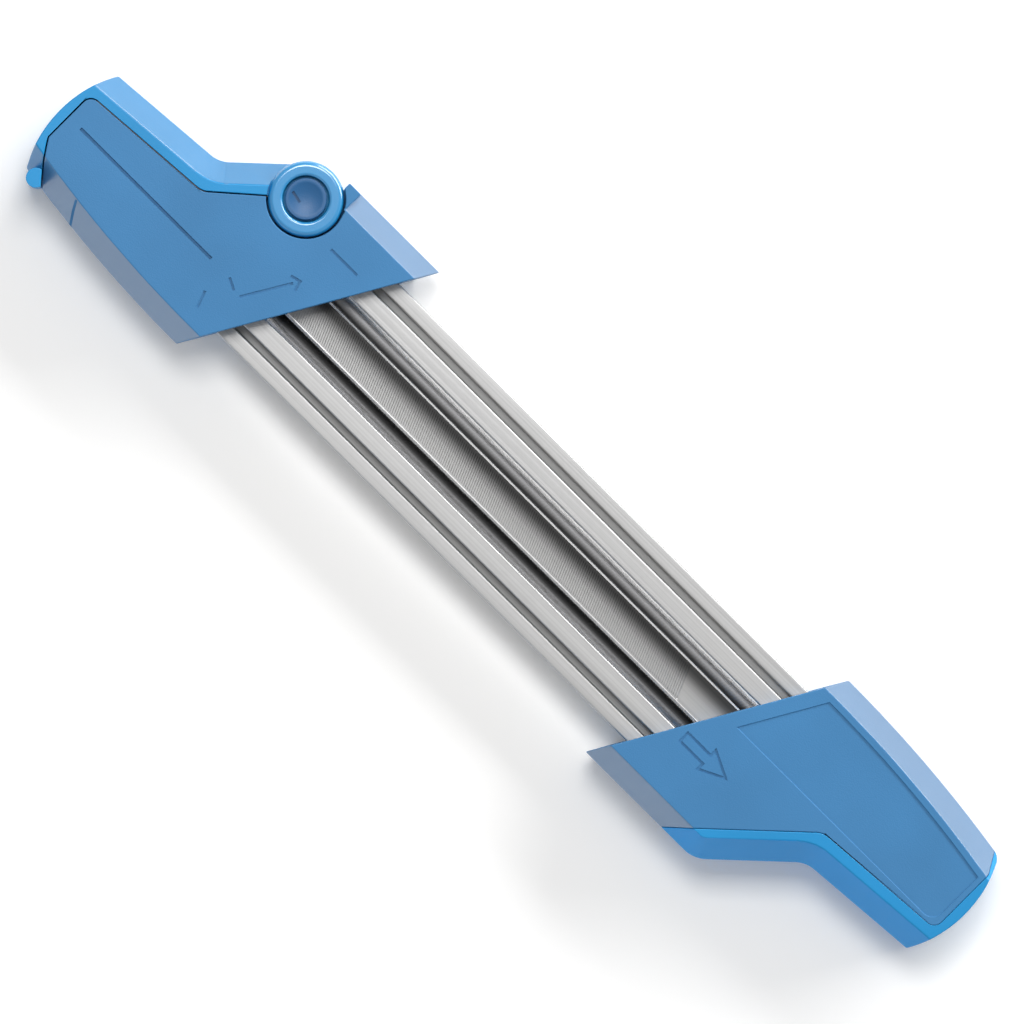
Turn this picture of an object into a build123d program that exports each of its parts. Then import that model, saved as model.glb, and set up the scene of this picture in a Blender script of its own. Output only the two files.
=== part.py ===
from build123d import *
from math import cos, hypot, radians, sin, tan
import os

# Manual chainsaw sharpener: two moulded handles joined by two bent steel guide rails,
# with a flat depth gauge file between two round files, and a lever that locks the files.
# +X runs along the rails to the fixed handle, +Z is up, and the origin is on the ground
# under the middle of the rails. All sizes are millimetres.

# Whole tool
overall_length = 362.0
overall_width = 70.8
handle_height = 26.0
filing_angle = 30.0
half_turn = 180.0

# Handle outline, seen from above
tail_length = 44.5
grip_bend_step = 7.7
grip_bend_depth = 12.3
grip_end_depth = 9.2
grip_slant = 43.0
grip_bend_radius = 9.0
shoulder_radius = 10.0
end_bulge = 5.0
end_corner_radius = 4.0
lever_corner_radius = 1.5
far_side_drop = 5.6
far_side_bow = 1.4
facet_width = 6.6
facet_drop = 8.0
seam_band = 10.1
seam_bend_share = 0.28
end_band = 3.4
seam_gap = 0.1
shell_wall = 2.6
seam_corner_radius = 3.0
seam_bend_radius = 6.0
cap_wrap_edge = 11.7
cap_wrap_slant = 7.6
room_shoulder = 0.6

# Sunk panel on top of the fixed handle
panel_depth = 0.4
panel_front_gap = 5.3
panel_near_depth = 1.8
panel_far_gap = 2.1
panel_end_gap = 1.7
panel_corner_radius = 4.0

# Files
round_file_diameter = 4.8
round_file_rise_share = 0.2
flat_file_width_share = 0.1582
flat_file_thickness = 3.0
depth_gauge_setting = 0.65
file_side_gap = 0.5
file_overhang = 1.0
file_fit = 0.05

# Guide rails
guide_height = 11.0
rail_gap = 0.4
rail_width = 13.2
rail_height = 7.2
rail_sheet = 1.2
rail_ridge_width = 6.0
rail_groove_width = 2.4
rail_groove_depth = 3.2
rail_flange_step = 1.2
rail_lip = 4.2
rail_foot = 9.0
rail_foot_gap = 0.5
rail_insertion = 13.0
pocket_fit = 0.15

# File holders inside the handles
holder_length = 6.0
holder_wall = 2.0
holder_side = 1.0
holder_step = 1.4
holder_back = 2.0
holder_fit = 0.1

# Lever, its hinge and its catch
hinge_step = 16.8
hinge_edge_share = 0.356
hinge_collar = 10.6
ring_edge = 1.2
ring_wall = 4.4
ring_thickness = 7.0
ring_clearance = 0.6
lug_inset = 0.9
lug_clearance = 0.6
lug_side_gap = 0.3
pin_radius = 3.0
pin_fit = 0.05
pin_head_height = 2.4
pin_head_gap = 0.7
pin_head_inset = 0.6
pin_head_floor_gap = 0.3
dish_rim = 0.9
dish_depth = 0.9
lever_corner = 6.0
hook_grip = 5.2
lever_gap = 0.4
hook_nose_radius = 3.0
hook_nose_inset = 4.2
fork_root_radius = 18.0
lever_rib = 1.8
lever_rib_count = 3
lever_rib_start_share = 0.07
lever_rib_step_share = 0.29
paddle_thickness = 3.4
paddle_margin = 2.2
paddle_root = 8.0
pad_thickness = 2.8
pad_gap = 0.3
pad_side = 1.2

# Screws
screw_radius = 1.5
screw_fit = 0.1
screw_head_radius = 2.8
screw_head_inset = 0.3
screw_tip_cover = 4.0
screw_tip_gap = 0.5
screw_boss_wall = 2.0
rail_screw_inset = 7.0
rail_window_fit = 0.2
shell_screw_inset = 15.0
shell_screw_edge = 15.4

# One length that every cut runs past the faces it opens
overrun = 2.0

half_length = overall_length / 2
half_width = overall_width / 2
split_height = handle_height / 2
slope = tan(radians(filing_angle))

# Where the files and rails lie. Reaches follow one another inwards from the finger bend.
flat_file_width = flat_file_width_share * overall_width
file_spacing = flat_file_width / 2 + file_side_gap + round_file_diameter / 2
round_file_height = guide_height + (round_file_rise_share - 1 / 2) * round_file_diameter
flat_file_bottom = guide_height - depth_gauge_setting
flat_file_top = flat_file_bottom + flat_file_thickness
file_low = round_file_height - round_file_diameter / 2
rail_inner = file_spacing + round_file_diameter / 2 + rail_gap
rail_outer = rail_inner + rail_width
rail_top = guide_height + rail_height
grip_bend_reach = half_length - tail_length
paddle_end = grip_bend_reach - grip_bend_step
paddle_start = paddle_end - paddle_thickness
pad_start = paddle_start - pad_thickness
file_free_end = pad_start - pad_gap
block_end = file_free_end - file_overhang
file_seat_end = block_end - holder_back
holder_start = block_end - holder_length
rail_far_end = holder_start - holder_step
front_offset = rail_far_end - rail_insertion - rail_outer * slope
rail_near_end = front_offset + rail_insertion - rail_inner * slope
holder_half_width = file_spacing + round_file_diameter / 2 + holder_side
holder_low = file_low - holder_wall
holder_top = max(flat_file_top, round_file_height + round_file_diameter / 2) + holder_wall

# Corners of the handle outline. The first number is the reach from the middle of the
# tool, the second is the depth across it, positive on the long straight side.
front_near = (front_offset - half_width * slope, -half_width)
front_far = (front_offset + half_width * slope, half_width)
end_far = (half_length - end_bulge, half_width - far_side_drop)
end_near = (half_length - end_bulge, -grip_end_depth)
grip_bend = (grip_bend_reach, -grip_bend_depth)
slant_x = cos(radians(grip_slant))
slant_y = sin(radians(grip_slant))
shoulder = (grip_bend_reach - (half_width - grip_bend_depth) * slant_x / slant_y, -half_width)
hinge_edge = hinge_edge_share * half_width
hinge = (rail_near_end + hinge_step, hinge_edge - half_width)
ring_radius = hinge_edge - ring_edge
lug_radius = ring_radius - lug_inset
pin_head_radius = ring_radius - ring_wall - pin_head_gap
dish_radius = pin_head_radius - dish_rim
seam_bend = (grip_bend_reach - seam_bend_share * seam_band, seam_band - grip_bend_depth)
seam_end = (half_length - end_band, seam_band - grip_end_depth)

# The lever's outer edge passes the hinge at this foot, and the handle stops short of it.
foot_run = (hinge[0] - grip_bend[0]) * slant_x + (hinge[1] - grip_bend[1]) * slant_y
lever_foot = (grip_bend[0] + foot_run * slant_x, grip_bend[1] + foot_run * slant_y)
handle_corner = hinge[0] - lever_corner

# The hook swings past the handle's far end corner on this radius about the hinge.
swing_radius = hypot(end_far[0] - hinge[0], end_far[1] - hinge[1]) - hook_grip

# Heights of the hinge, from the ground up. The lower half mirrors the upper half.
lug_low = ring_thickness + lug_side_gap
lug_top = handle_height - lug_low
head_low = pin_head_inset
head_seat = head_low + pin_head_height
bore_floor = head_seat + pin_head_floor_gap

# Screw places on each handle, as reach and depth
ridge_middle = rail_inner + rail_ridge_width / 2
near_rail_screw = (rail_near_end - rail_screw_inset, -ridge_middle)
far_rail_screw = (rail_far_end - rail_screw_inset, ridge_middle)
shell_screw = (half_length - shell_screw_inset, half_width - shell_screw_edge)
rail_screws = [near_rail_screw, far_rail_screw]
screw_tip = handle_height - screw_tip_cover
screw_neck = screw_head_inset + screw_head_radius - screw_radius

# The two handles lie half a turn apart about the middle of the tool. Each is drawn in
# its own plane, whose first axis points from the middle of the tool to the handle's end.
right_side = Plane.XY
left_side = Plane.XY.rotated((0, 0, half_turn))
right_section = Plane.YZ
left_section = Plane(origin=(0, 0, 0), x_dir=(0, -1, 0), z_dir=(-1, 0, 0))


def nearest(items, point):
    """The vertex or edge nearest to a place given as reach, depth and height."""
    return items.sort_by_distance(point)[0]


def outline(plane, near_corners, corner_radius):
    """Handle seen from above: slanted front, bowed far side, bulging end and finger bend."""
    with BuildSketch(plane) as plan:
        with BuildLine():
            SagittaArc(front_far, end_far, far_side_bow)
            SagittaArc(end_far, end_near, end_bulge)
            Polyline(end_near, grip_bend, *near_corners, front_near, front_far)
        make_face()
        fillet(nearest(plan.vertices(), (*grip_bend, 0)), radius=grip_bend_radius)
        fillet(nearest(plan.vertices(), (*end_far, 0)), radius=corner_radius)
        if shoulder in near_corners:
            fillet(nearest(plan.vertices(), (*shoulder, 0)), radius=shoulder_radius)
    return plan.sketch


def side_strip(plane, inset):
    """The long sides of a handle without its front and end, drawn in by an inset."""
    reach = half_length + facet_width + overrun
    run = reach - end_near[0]
    near_exit = (reach, end_near[1] + run * (end_near[1] - grip_bend[1]) / (end_near[0] - grip_bend[0]))
    with BuildSketch(plane) as plan:
        with BuildLine():
            bowed = SagittaArc(front_far, end_far, far_side_bow)
            far_exit = end_far + run / (bowed % 1).X * (bowed % 1)
            Polyline(end_far, far_exit, near_exit, grip_bend, shoulder, (0, -half_width))
            Polyline((0, -half_width), (0, half_width), front_far)
        make_face()
        fillet(nearest(plan.vertices(), (*grip_bend, 0)), radius=grip_bend_radius)
        fillet(nearest(plan.vertices(), (*shoulder, 0)), radius=shoulder_radius)
        if inset:
            offset(amount=-inset, kind=Kind.INTERSECTION)
    return plan.sketch


def faceted_block(side):
    """A block with upright long sides and slanted facets above and below them."""
    with BuildPart() as block:
        extrude(side_strip(side, 0), amount=handle_height)
        for height in (0, handle_height):
            face = block.faces().filter_by_position(Axis.Z, height, height)[0]
            chamfer(face.edges(), length=facet_width, length2=facet_drop, reference=face)
    return block.part


def right_outline(plane):
    """The fixed handle's near side runs from the finger bend to a round shoulder."""
    return outline(plane, [shoulder], end_corner_radius)


def left_outline(plane):
    """The lever handle's near side stops at the hinge, and starts again beyond it."""
    corners = [lever_foot, (handle_corner, lever_foot[1]), (handle_corner, -half_width)]
    return outline(plane, corners, lever_corner_radius)


def right_seam(plane, grow):
    """What the fixed handle keeps inside its end grip, drawn past its other sides."""
    far = half_width + overrun
    slant_start = (seam_bend[0] - (far + seam_bend[1]) * slant_x / slant_y, -far)
    wrap = (seam_end[0], half_width - cap_wrap_edge)
    wrap_end = (seam_end[0] - cap_wrap_slant, far)
    with BuildSketch(plane) as plan:
        with BuildLine():
            Polyline((0, -far), slant_start, seam_bend, seam_end, wrap, wrap_end, (0, far), close=True)
        make_face()
        fillet(nearest(plan.vertices(), (*seam_bend, 0)), radius=seam_bend_radius)
        fillet(nearest(plan.vertices(), (*seam_end, 0)), radius=seam_corner_radius)
        offset(amount=grow)
    return plan.sketch


def left_seam(plane, grow):
    """What the lever handle keeps beside its lever, cut round where the hook swings past."""
    far = half_width + overrun
    corners = [(0, -far), (handle_corner, -far), (handle_corner, hinge[1]), hinge]
    corners += [seam_bend, seam_end, (seam_end[0], far), (0, far)]
    with BuildSketch(plane) as plan:
        with BuildLine():
            Polyline(*corners, close=True)
        make_face()
        fillet(nearest(plan.vertices(), (*seam_bend, 0)), radius=seam_bend_radius)
        fillet(nearest(plan.vertices(), (*seam_end, 0)), radius=seam_corner_radius)
        with Locations(hinge):
            Circle(swing_radius, mode=Mode.INTERSECT)
        offset(amount=grow)
    return plan.sketch


def room(side, plan_at):
    """The hollow inside a handle: wide at mid height, and narrower between the facets."""
    tall_inset = facet_width + room_shoulder
    with BuildPart() as space:
        extrude(
            offset(plan_at(side.offset(facet_drop)), amount=-shell_wall),
            amount=handle_height - 2 * facet_drop,
        )
        extrude(
            offset(plan_at(side.offset(shell_wall)), amount=-tall_inset),
            amount=handle_height - 2 * shell_wall,
        )
    return space.part


def slab(side, reach, depth, height):
    """A box given by its two limits in reach, in depth and in height."""
    middle = ((reach[0] + reach[1]) / 2, (depth[0] + depth[1]) / 2)
    with BuildPart() as box:
        with BuildSketch(side.offset(height[0])):
            with Locations(middle):
                Rectangle(reach[1] - reach[0], depth[1] - depth[0])
        extrude(amount=height[1] - height[0])
    return box.part


def posts(side, places, radius, low, high):
    """Round posts or holes that stand on the given places between two heights."""
    with BuildPart() as group:
        with BuildSketch(side.offset(low)):
            with Locations(*places):
                Circle(radius)
        extrude(amount=high - low)
    return group.part


def taper(side, places, low_radius, top_radius, low, high):
    """Round tapers on the given places between two heights."""
    grounded = (Align.CENTER, Align.CENTER, Align.MIN)
    with BuildPart(side.offset(low)) as group:
        with Locations(*places):
            Cone(low_radius, top_radius, high - low, align=grounded)
    return group.part


def boss(side):
    """Square boss round the screw that joins the two shells at the tail of a handle."""
    half = screw_head_radius + screw_boss_wall
    reach = (shell_screw[0] - half, shell_screw[0] + half)
    depth = (shell_screw[1] - half, shell_screw[1] + half)
    return slab(side, reach, depth, (0, handle_height))


def panel_recess(floor):
    """Sunk panel that follows the slanted front, the far facet and the end grip's seam."""
    front = front_offset + panel_front_gap
    end = seam_end[0] - panel_end_gap
    near_corner = (front + panel_near_depth * slope, panel_near_depth)
    far_corner = (front + half_width * slope, half_width)
    with BuildPart() as recess:
        with BuildSketch(floor) as plan:
            with BuildLine():
                Polyline(near_corner, (end, panel_near_depth), (end, half_width), far_corner, close=True)
            make_face()
            fillet(nearest(plan.vertices(), (end, panel_near_depth, 0)), radius=panel_corner_radius)
        extrude(amount=panel_depth + overrun)
        far_limit = side_strip(floor, facet_width + panel_far_gap)
        extrude(far_limit, amount=panel_depth + overrun, mode=Mode.INTERSECT)
    return recess.part


def holder_limits(fit):
    """Limits of a file holder, or of its pocket when a fit is given."""
    reach = (holder_start - fit, block_end)
    depth = (-holder_half_width - fit, holder_half_width + fit)
    return reach, depth, (holder_low - fit, holder_top + fit)


def front_pockets(side):
    """Pockets in the front of a handle: two for the rails, one for the files, one for the holder."""
    rail_band = (guide_height + rail_sheet - pocket_fit, rail_top + pocket_fit)
    far_band = (rail_inner - pocket_fit, rail_outer + pocket_fit)
    near_band = (-rail_outer - pocket_fit, -rail_inner + pocket_fit)
    reach, depth, height = holder_limits(holder_fit)
    with BuildPart() as pockets:
        add(slab(side, (0, rail_far_end + pocket_fit), far_band, rail_band))
        add(slab(side, (0, rail_near_end + pocket_fit), near_band, rail_band))
        file_band = (file_low - pocket_fit, flat_file_top + pocket_fit)
        add(slab(side, (0, block_end), (-rail_inner, rail_inner), file_band))
        add(slab(side, (reach[0], reach[1] + overrun), depth, height))
    return pockets.part


def screw_holes(side, places):
    """Countersunk holes from the underside up to a closed end."""
    hole = screw_radius + screw_fit
    with BuildPart() as holes:
        add(taper(side, places, hole + screw_neck + overrun, hole, -overrun, screw_neck))
        add(posts(side, places, hole, 0, screw_tip))
    return holes.part


def screws(side, places):
    """Screws with countersunk heads that go up from the underside."""
    with BuildPart() as group:
        add(taper(side, places, screw_head_radius, screw_radius, screw_head_inset, screw_neck))
        add(posts(side, places, screw_radius, screw_neck, screw_tip - screw_tip_gap))
    return group.part


def save(part, name):
    """Label a finished piece and write it to its own file."""
    part.label = name
    export_step(part, f"parts/{name}.step")


os.makedirs("parts", exist_ok=True)

# Whole handles, before they are cut into shells, end grip and lever
with BuildPart() as right_blank:
    add(faceted_block(right_side))
    extrude(right_outline(right_side), amount=handle_height, mode=Mode.INTERSECT)

collar_reach = (hinge[0] - hinge_collar, handle_corner)
collar_depth = (-half_width, facet_width - half_width)
with BuildPart() as left_blank:
    add(faceted_block(left_side))
    add(slab(left_side, collar_reach, collar_depth, (0, handle_height)))
    extrude(left_outline(left_side), amount=handle_height, mode=Mode.INTERSECT)

right_hollow = room(right_side, right_outline)
left_hollow = room(left_side, left_outline)
tail_band = (block_end, half_length + overrun)
full_depth = (-half_width - overrun, half_width + overrun)
full_height = (-overrun, handle_height + overrun)

# Fixed handle: solid round the rail ends, hollow behind them, closed behind its end grip
with BuildPart() as right_room:
    add(right_hollow)
    extrude(right_seam(right_side, -shell_wall), amount=handle_height, mode=Mode.INTERSECT)
    add(slab(right_side, tail_band, full_depth, full_height), mode=Mode.INTERSECT)
    add(boss(right_side), mode=Mode.SUBTRACT)

with BuildPart() as right_body:
    add(right_blank.part)
    extrude(right_seam(right_side, 0), amount=handle_height, mode=Mode.INTERSECT)
    add(right_room.part, mode=Mode.SUBTRACT)
    add(front_pockets(right_side), mode=Mode.SUBTRACT)
    add(screw_holes(right_side, [*rail_screws, shell_screw]), mode=Mode.SUBTRACT)
    add(panel_recess(right_side.offset(handle_height - panel_depth)), mode=Mode.SUBTRACT)

# End grip: the softer, brighter band bonded round the finger bend and the end
with BuildPart() as right_end_grip:
    add(right_blank.part)
    extrude(right_seam(right_side, seam_gap), amount=handle_height, mode=Mode.SUBTRACT)

# Lever handle: the hollow tail is open towards the lever, so that files pass through it
mouth_band = (seam_bend[1] + hinge[1], rail_inner + shell_wall)
mouth_height = (shell_wall, handle_height - shell_wall)
with BuildPart() as left_room:
    add(left_hollow)
    add(slab(left_side, tail_band, full_depth, full_height), mode=Mode.INTERSECT)
    add(slab(left_side, tail_band, mouth_band, mouth_height))
    add(boss(left_side), mode=Mode.SUBTRACT)

with BuildPart() as left_body:
    add(left_blank.part)
    extrude(left_seam(left_side, 0), amount=handle_height, mode=Mode.INTERSECT)
    add(left_room.part, mode=Mode.SUBTRACT)
    ring_room = ring_radius + ring_clearance
    add(posts(left_side, [hinge], ring_room, -overrun, lug_low), mode=Mode.SUBTRACT)
    add(posts(left_side, [hinge], ring_room, lug_top, handle_height + overrun), mode=Mode.SUBTRACT)
    add(posts(left_side, [hinge], lug_radius, lug_low, lug_top))
    add(posts(left_side, [hinge], pin_radius + pin_fit, 0, handle_height), mode=Mode.SUBTRACT)
    add(front_pockets(left_side), mode=Mode.SUBTRACT)
    add(screw_holes(left_side, [*rail_screws, shell_screw]), mode=Mode.SUBTRACT)

# Each handle is parted at mid height into an upper and a lower shell
for body, name in ((left_body, "left"), (right_body, "right")):
    for keep, half in ((Keep.TOP, "upper"), (Keep.BOTTOM, "lower")):
        with BuildPart() as shell:
            add(body.part)
            split(bisect_by=Plane.XY.offset(split_height), keep=keep)
        save(shell.part, f"{name}_{half}_shell")
save(right_end_grip.part, "right_end_grip")

# Locking lever: a hollow ribbed bar with a fork at the hinge, a hook at the far end, and a
# paddle that reaches across the handle to the ends of the files
seam_rise = (seam_bend[1] - hinge[1]) / (seam_bend[0] - hinge[0])
paddle_seam = hinge[1] + seam_rise * (paddle_start - hinge[0])
paddle_depth = (paddle_seam - paddle_root, file_spacing + round_file_diameter / 2)
paddle_height = (file_low - paddle_margin, flat_file_top + paddle_margin)
rib_shares = [lever_rib_start_share + n * lever_rib_step_share for n in range(lever_rib_count)]
rib_places = [grip_bend_reach + share * tail_length for share in rib_shares]

with BuildPart() as lever_room:
    add(left_hollow)
    add(posts(left_side, [hinge], fork_root_radius, 0, handle_height), mode=Mode.SUBTRACT)
    for place in rib_places:
        rib_band = (place, place + lever_rib)
        add(slab(left_side, rib_band, (-half_width, 0), full_height), mode=Mode.SUBTRACT)

with BuildPart() as fork_ring:
    add(posts(left_side, [hinge], ring_radius, 0, ring_thickness))
    add(posts(left_side, [hinge], ring_radius - ring_wall, 0, bore_floor), mode=Mode.SUBTRACT)

with BuildPart() as locking_lever:
    add(left_blank.part)
    with BuildSketch(left_side):
        with Locations((end_far[0] - hook_nose_inset, end_far[1])):
            Circle(hook_nose_radius)
    extrude(amount=handle_height)
    extrude(left_seam(left_side, lever_gap), amount=handle_height, mode=Mode.SUBTRACT)
    add(lever_room.part, mode=Mode.SUBTRACT)
    add(posts(left_side, [hinge], ring_radius, -overrun, handle_height + overrun), mode=Mode.SUBTRACT)
    add(fork_ring.part)
    mirror(fork_ring.part, about=Plane.XY.offset(split_height))
    lug_room = lug_radius + lug_clearance
    upper_ring = handle_height - ring_thickness
    add(posts(left_side, [hinge], lug_room, ring_thickness, upper_ring), mode=Mode.SUBTRACT)
    add(posts(left_side, [hinge], pin_radius + pin_fit, 0, handle_height), mode=Mode.SUBTRACT)
    add(slab(left_side, (paddle_start, paddle_end), paddle_depth, paddle_height))
save(locking_lever.part, "locking_lever")

# Rubber pad on the paddle that presses the three files against their seats
with BuildPart() as lever_pressure_pad:
    pad_depth = (-file_spacing - pad_side, file_spacing + pad_side)
    add(slab(left_side, (pad_start, paddle_start), pad_depth, (file_low, flat_file_top)))
save(lever_pressure_pad.part, "lever_pressure_pad")

# Hinge: a pin from above with a hollowed head, held by a screw from below
pin_seat = handle_height - head_seat
pin_top = handle_height - head_low
with BuildPart() as lever_hinge_pin:
    add(posts(left_side, [hinge], pin_head_radius, pin_seat, pin_top))
    add(posts(left_side, [hinge], dish_radius, pin_top - dish_depth, handle_height), mode=Mode.SUBTRACT)
    add(posts(left_side, [hinge], pin_radius, head_seat, pin_seat))
    bore = screw_radius + screw_fit
    add(posts(left_side, [hinge], bore, head_seat, split_height), mode=Mode.SUBTRACT)
save(lever_hinge_pin.part, "lever_hinge_pin")

with BuildPart() as lever_hinge_screw:
    add(posts(left_side, [hinge], pin_head_radius, head_low, head_seat))
    add(posts(left_side, [hinge], screw_radius, head_seat, split_height - screw_tip_gap))
save(lever_hinge_screw.part, "lever_hinge_screw")

# Guide rails: one bent sheet each, with a lip, a ridge, a groove, a flange, an outer wall
# and a flat foot that rides on the chain and stops short of both handles
window = screw_radius + rail_window_fit
window_places = (rail_far_end - rail_screw_inset, rail_screw_inset - rail_near_end)
ridge_end = rail_inner + rail_ridge_width
groove_end = ridge_end + rail_groove_width
profile = [
    (rail_inner, rail_top - rail_lip),
    (rail_inner, rail_top),
    (ridge_end, rail_top),
    (ridge_end, rail_top - rail_groove_depth),
    (groove_end, rail_top - rail_groove_depth),
    (groove_end, rail_top - rail_flange_step),
    (rail_outer, rail_top - rail_flange_step),
    (rail_outer, guide_height),
    (rail_outer - rail_foot, guide_height),
]
for section, side, name in (
    (right_section, right_side, "rear_guide_rail"),
    (left_section, left_side, "front_guide_rail"),
):
    with BuildPart() as rail:
        with BuildSketch(section.offset(-rail_near_end)):
            with BuildLine():
                offset(Polyline(*profile), amount=rail_sheet, side=Side.RIGHT)
            make_face()
        extrude(amount=rail_near_end + rail_far_end)
        for handle_plan in (right_outline(right_side), left_outline(left_side)):
            foot_cut = offset(handle_plan, amount=rail_foot_gap, mode=Mode.PRIVATE)
            extrude(foot_cut, amount=guide_height + rail_sheet, mode=Mode.SUBTRACT)
        for place in window_places:
            window_reach = (place - window, place + window)
            window_depth = (ridge_middle - window, ridge_middle + window)
            add(slab(side, window_reach, window_depth, (0, handle_height)), mode=Mode.SUBTRACT)
    save(rail.part, name)

# Files, drawn along the rails from the lever's pad to the seats in the fixed handle
with BuildPart() as flat_file:
    file_reach = (-file_free_end, file_seat_end)
    flat_depth = (-flat_file_width / 2, flat_file_width / 2)
    add(slab(right_side, file_reach, flat_depth, (flat_file_bottom, flat_file_top)))
save(flat_file.part, "flat_file")

for depth, name in ((file_spacing, "rear_round_file"), (-file_spacing, "front_round_file")):
    with BuildPart() as round_file:
        with BuildSketch(Plane.YZ.offset(-file_free_end)):
            with Locations((depth, round_file_height)):
                Circle(round_file_diameter / 2)
        extrude(amount=file_free_end + file_seat_end)
    save(round_file.part, name)

# File holders: an open one at the lever, and one with a closed back in the fixed handle
for side, section, name, far_end in (
    (left_side, left_section, "left_file_holder", block_end + overrun),
    (right_side, right_section, "right_file_seat", file_seat_end),
):
    with BuildPart() as holder:
        add(slab(side, *holder_limits(0)))
        flat_half = flat_file_width / 2 + file_fit
        flat_band = (flat_file_bottom - file_fit, flat_file_top + file_fit)
        add(slab(side, (0, far_end), (-flat_half, flat_half), flat_band), mode=Mode.SUBTRACT)
        with BuildSketch(section):
            with Locations((file_spacing, round_file_height), (-file_spacing, round_file_height)):
                Circle(round_file_diameter / 2 + file_fit)
        extrude(amount=far_end, mode=Mode.SUBTRACT)
    save(holder.part, name)

# Screws from the underside: two that hold the rails in each handle and one at its tail
save(screws(left_side, rail_screws), "left_rail_screws")
save(screws(right_side, rail_screws), "right_rail_screws")
save(screws(left_side, [shell_screw]), "left_shell_screw")
save(screws(right_side, [shell_screw]), "right_shell_screw")
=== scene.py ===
import math

import bmesh
import bpy
import numpy as np
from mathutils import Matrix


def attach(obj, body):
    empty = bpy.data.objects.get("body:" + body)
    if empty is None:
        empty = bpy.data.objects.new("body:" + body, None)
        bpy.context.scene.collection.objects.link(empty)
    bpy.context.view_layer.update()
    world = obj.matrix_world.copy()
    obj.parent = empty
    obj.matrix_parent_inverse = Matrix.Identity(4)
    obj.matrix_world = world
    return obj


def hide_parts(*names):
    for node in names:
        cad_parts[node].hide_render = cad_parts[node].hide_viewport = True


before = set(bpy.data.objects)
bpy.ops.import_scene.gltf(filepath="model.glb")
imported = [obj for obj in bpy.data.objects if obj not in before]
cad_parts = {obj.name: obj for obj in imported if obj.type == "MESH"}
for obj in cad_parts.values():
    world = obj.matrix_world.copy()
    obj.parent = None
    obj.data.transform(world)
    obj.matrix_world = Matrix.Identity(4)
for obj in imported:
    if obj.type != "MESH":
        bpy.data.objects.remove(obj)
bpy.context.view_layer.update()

# Camera and white table.
# The tool lies flat and is seen from straight above, turned so that its rails fall to the
# lower right. The table is white, and only the soft shadow of the tool shows on it.
scene = bpy.context.scene
scene.view_settings.view_transform = "Standard"

CAMERA_HEIGHT = 6.0
CAMERA_TURN = math.radians(44.9)
CAMERA_CENTRE = (-0.00015, -0.00005)
LENS_MM = 701.4

camera = bpy.data.objects.new("camera", bpy.data.cameras.new("camera"))
camera.location = (*CAMERA_CENTRE, CAMERA_HEIGHT)
camera.rotation_euler = (0, 0, CAMERA_TURN)
camera.data.sensor_width = 36.0
camera.data.lens = LENS_MM
camera.data.clip_end = 20.0
scene.collection.objects.link(camera)
scene.camera = camera


def paint(name):
    """A new material, its node tree and its main shader."""
    material = bpy.data.materials.new(name)
    material.use_nodes = True
    tree = material.node_tree
    shader = tree.nodes["Principled BSDF"]
    return material, tree, shader


def surface(name, points, faces, material, smooth=True):
    """A mesh object from an array of points and an array of faces, at the origin."""
    mesh = bpy.data.meshes.new(name)
    mesh.from_pydata(np.asarray(points, float).tolist(), [], [list(map(int, f)) for f in faces])
    mesh.update()
    mesh.polygons.foreach_set("use_smooth", np.full(len(mesh.polygons), smooth))
    mesh.materials.append(material)
    piece = bpy.data.objects.new(name, mesh)
    scene.collection.objects.link(piece)
    return piece


def seen_directly(tree):
    """1 for rays from the camera and for mirror and glass rays, 0 for the light that falls."""
    path = tree.nodes.new("ShaderNodeLightPath")
    first = tree.nodes.new("ShaderNodeMath")
    first.operation = "MAXIMUM"
    second = tree.nodes.new("ShaderNodeMath")
    second.operation = "MAXIMUM"
    tree.links.new(path.outputs["Is Camera Ray"], first.inputs[0])
    tree.links.new(path.outputs["Is Glossy Ray"], first.inputs[1])
    tree.links.new(first.outputs[0], second.inputs[0])
    tree.links.new(path.outputs["Is Transmission Ray"], second.inputs[1])
    return second.outputs[0]


FLOOR_HALF = 3.0
FLOOR_COLOUR = (0.98, 0.975, 0.965, 1)
FLOOR_LIFT = 0.08

floor_paint, tree, shader = paint("white_table")
shader.inputs["Base Color"].default_value = FLOOR_COLOUR
shader.inputs["Roughness"].default_value = 0.9
shader.inputs["Specular IOR Level"].default_value = 0.0
lift = tree.nodes.new("ShaderNodeEmission")
lift_amount = tree.nodes.new("ShaderNodeMath")
lift_amount.operation = "MULTIPLY"
lift_amount.inputs[1].default_value = FLOOR_LIFT
tree.links.new(seen_directly(tree), lift_amount.inputs[0])
tree.links.new(lift_amount.outputs[0], lift.inputs["Strength"])
both = tree.nodes.new("ShaderNodeAddShader")
tree.links.new(shader.outputs[0], both.inputs[0])
tree.links.new(lift.outputs[0], both.inputs[1])
tree.links.new(both.outputs[0], tree.nodes["Material Output"].inputs["Surface"])
corners = FLOOR_HALF * np.array([(-1, -1, 0), (1, -1, 0), (1, 1, 0), (-1, 1, 0)])
floor = surface("floor", corners, [(0, 1, 2, 3)], floor_paint, smooth=False)

# Studio light.
# A pale room lights everything evenly. A soft key lamp hangs above, a little beyond the lever
# hinge, a long strip faces the hinge's side, and a weaker one faces the other side.
WORLD_STRENGTH = 0.41
world = bpy.data.worlds.new("pale_room")
world.use_nodes = True
world.node_tree.nodes["Background"].inputs["Color"].default_value = (1.0, 0.985, 0.965, 1)
world.node_tree.nodes["Background"].inputs["Strength"].default_value = WORLD_STRENGTH
scene.world = world


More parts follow.
